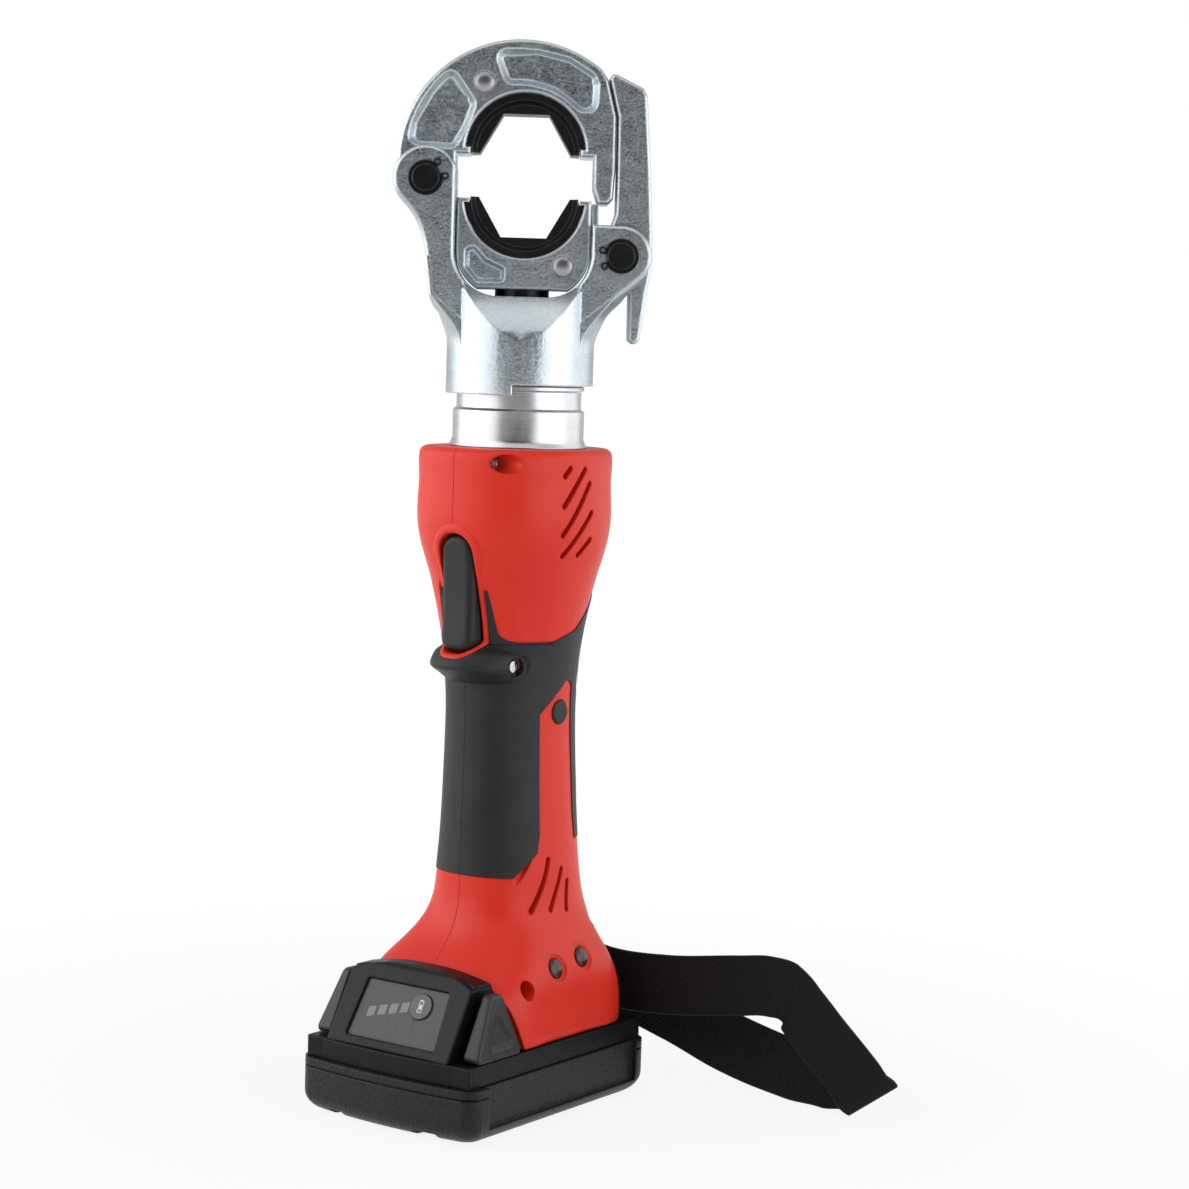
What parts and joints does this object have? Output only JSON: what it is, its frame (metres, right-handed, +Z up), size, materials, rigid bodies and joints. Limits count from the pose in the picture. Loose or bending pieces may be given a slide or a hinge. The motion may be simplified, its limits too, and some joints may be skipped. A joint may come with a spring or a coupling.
{
  "type": "battery hydraulic crimping tool",
  "caption": "Pistol shaped battery hydraulic crimping tool with a hinged forged head, hexagon crimping dies, soft grip, long trigger, slide-on battery and wrist strap.",
  "frame": {"origin": "on the battery's flat underside, below the ram's axis", "axes": "+Z up along the ram's axis, -Y out of the front face of the crimp head; the handle and battery are turned 37 degrees clockwise below the head, as in the picture"},
  "size_m": [0.2113, 0.1268, 0.3807],
  "materials": {
    "plated_steel": "zinc plated forging, satin",
    "die_black": "phosphated black",
    "pin_black": "blackened",
    "button_steel": "turned",
    "ram_steel": "ground and hardened",
    "spring_steel": "drawn wire",
    "neck_alloy": "turned",
    "inner_steel": "machined",
    "seal_rubber": "plain",
    "red_shell": "moulded, fine grain",
    "grip_rubber": "moulded over the shell, fine grain",
    "trigger_plastic": "moulded",
    "switch_plastic": "moulded",
    "lens_plastic": "clear",
    "board": "lacquered",
    "contact_brass": "plain",
    "battery_plastic": "spark eroded grain",
    "latch_plastic": "smooth",
    "gauge_plastic": "smooth",
    "cell_can": "sleeved",
    "webbing": "woven"
  },
  "bodies": {
    "handle": {"hydraulic_cylinder": "neck_alloy", "stop_pin": "inner_steel", "swivel_ring": "inner_steel", "left_shell": "red_shell", "right_shell": "red_shell", "left_grip": "grip_rubber", "right_grip": "grip_rubber", "shell_screws": "inner_steel", "trigger_pin": "inner_steel", "trigger_switch": "switch_plastic", "release_switch": "switch_plastic", "indicator_lenses": "lens_plastic", "motor": "inner_steel", "gearbox": "neck_alloy", "pump_block": "neck_alloy", "pump_plunger": "inner_steel", "shaft_bearings": "inner_steel", "oil_bladder": "seal_rubber", "terminal_block": "switch_plastic", "contact_blades": "contact_brass", "control_board": "board", "strap_pin": "inner_steel", "wrist_strap": "webbing"},
    "head": {"head_yoke": "plated_steel", "hinge_pin": "pin_black", "latch_pin": "pin_black", "hinge_pin_clips": "pin_black", "latch_pin_clips": "pin_black", "latch_spring": "spring_steel", "return_spring": "spring_steel"},
    "jaw": {"upper_jaw": "plated_steel", "upper_die": "die_black", "upper_button_spring": "spring_steel"},
    "latch": {"latch_lever": "plated_steel"},
    "ram": {"die_carrier": "plated_steel", "lower_die": "die_black", "ram_rod": "ram_steel", "piston": "ram_steel", "piston_seal": "seal_rubber", "lower_button_spring": "spring_steel"},
    "upper_button": {"upper_die_button": "button_steel"},
    "lower_button": {"lower_die_button": "button_steel"},
    "trigger": {"trigger": "trigger_plastic"},
    "release_button": {"release_button": "trigger_plastic"},
    "battery": {"battery_lower_case": "battery_plastic", "battery_upper_case": "battery_plastic", "battery_cells": "cell_can", "cell_board": "board", "case_screws": "inner_steel", "gauge_panel": "gauge_plastic", "left_latch_spring": "spring_steel", "right_latch_spring": "spring_steel"},
    "left_latch": {"left_latch_button": "latch_plastic"},
    "right_latch": {"right_latch_button": "latch_plastic"},
    "gauge_button": {"gauge_button": "gauge_plastic"},
    "eccentric": {"eccentric_shaft": "inner_steel"}
  },
  "joints": [
    {"name": "head_swivel", "type": "hinge", "parent": "handle", "child": "head", "pos_m": [0, 0, 0.27], "axis": [0, 0, 1], "range_deg": [-115, 140]},
    {"name": "jaw_swing", "type": "hinge", "parent": "head", "child": "jaw", "pos_m": [-0.0348, 0, 0.331], "axis": [0, -1, 0], "range_deg": [0, 90]},
    {"name": "latch_swing", "type": "hinge", "parent": "head", "child": "latch", "pos_m": [0.0348, 0, 0.3056], "axis": [0, 1, 0], "range_deg": [0, 18], "stiffness_Nm_per_rad": 0.6, "springref_deg": -20.05},
    {"name": "ram_slide", "type": "slide", "parent": "head", "child": "ram", "axis": [0, 0, 1], "range_m": [0, 0.0152], "stiffness_N_per_m": 2500, "springref_m": -0.012, "deforming": ["return_spring"]},
    {"name": "upper_die_press", "type": "slide", "parent": "jaw", "child": "upper_button", "axis": [0, 1, 0], "range_m": [0, 0.0022], "stiffness_N_per_m": 600, "springref_m": -0.003, "deforming": ["upper_button_spring"]},
    {"name": "lower_die_press", "type": "slide", "parent": "ram", "child": "lower_button", "axis": [0, 1, 0], "range_m": [0, 0.0022], "stiffness_N_per_m": 600, "springref_m": -0.003, "deforming": ["lower_button_spring"]},
    {"name": "trigger_pull", "type": "hinge", "parent": "handle", "child": "trigger", "pos_m": [-0.0183, -0.02428, 0.2006], "axis": [0.7986, -0.6018, 0], "range_deg": [0, 4.5], "stiffness_Nm_per_rad": 0.8, "springref_deg": -14.32},
    {"name": "release_press", "type": "slide", "parent": "handle", "child": "release_button", "axis": [-0.7986, 0.6018, 0], "range_m": [0, 0.0012], "stiffness_N_per_m": 600, "springref_m": -0.003},
    {"name": "battery_slide", "type": "slide", "parent": "handle", "child": "battery", "axis": [-0.6018, -0.7986, 0], "range_m": [0, 0.09]},
    {"name": "left_latch_press", "type": "slide", "parent": "battery", "child": "left_latch", "axis": [0.7986, -0.6018, 0], "range_m": [0, 0.0025], "stiffness_N_per_m": 600, "springref_m": -0.003, "deforming": ["left_latch_spring"]},
    {"name": "right_latch_press", "type": "slide", "parent": "battery", "child": "right_latch", "axis": [-0.7986, 0.6018, 0], "range_m": [0, 0.0025], "stiffness_N_per_m": 600, "springref_m": -0.003, "deforming": ["right_latch_spring"]},
    {"name": "gauge_press", "type": "slide", "parent": "battery", "child": "gauge_button", "axis": [0.5654, 0.7503, -0.3427], "range_m": [0, 0.0008], "stiffness_N_per_m": 600, "springref_m": -0.003},
    {"name": "eccentric_spin", "type": "hinge", "parent": "handle", "child": "eccentric", "pos_m": [0, 0, 0.18], "axis": [0, 0, 1], "continuous": true}
  ]
}
